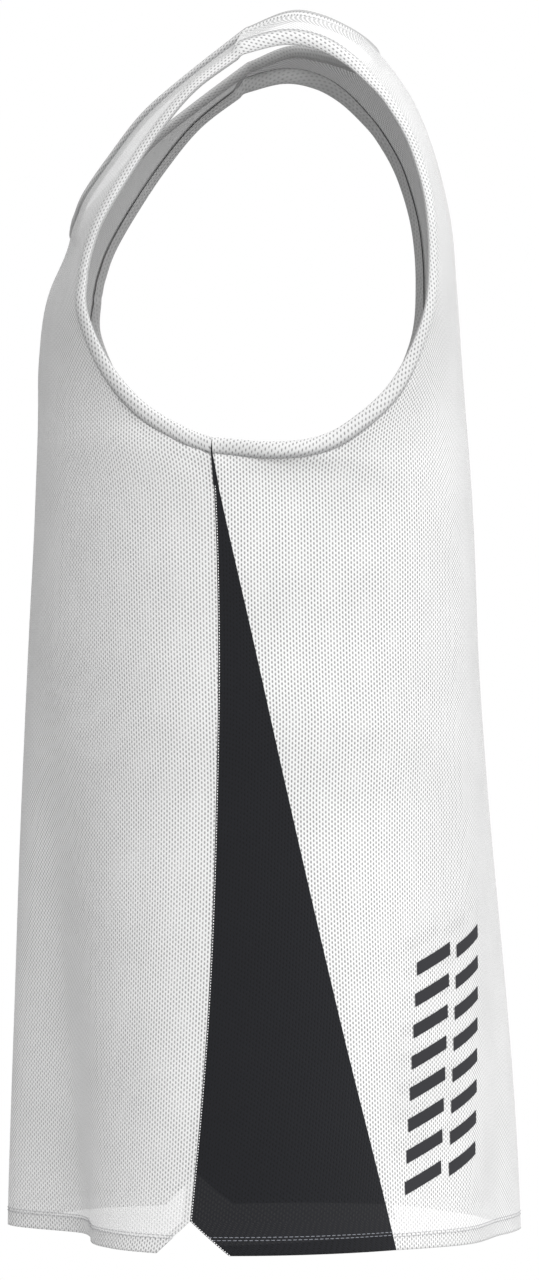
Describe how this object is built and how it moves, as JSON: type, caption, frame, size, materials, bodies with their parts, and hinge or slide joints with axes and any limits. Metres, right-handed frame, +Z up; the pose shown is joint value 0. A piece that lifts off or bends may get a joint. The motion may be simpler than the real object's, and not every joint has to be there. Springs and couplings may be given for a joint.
{
  "type": "running singlet",
  "caption": "White micro-mesh running singlet in its hollow worn form, with black side gores, bound neck and armholes, and vented side hems.",
  "frame": {"origin": "midway between the two shoulder straps, at the height of their highest point, where the wearer's shoulders hold the singlet", "axes": "+Z up along the body, +X towards the wearer's left side, -Y towards the front"},
  "size_m": [0.396, 0.3036, 0.71],
  "materials": {
    "white_micro_mesh": "matt",
    "near_black_micro_mesh": "matt",
    "white_binding_knit": "matt"
  },
  "bodies": {
    "root": {"front_panel": "white_micro_mesh", "back_panel": "white_micro_mesh", "side_gore_left": "near_black_micro_mesh", "side_gore_right": "near_black_micro_mesh", "neck_binding": "white_binding_knit", "armhole_binding_left": "white_binding_knit", "armhole_binding_right": "white_binding_knit"}
  },
  "joints": []
}
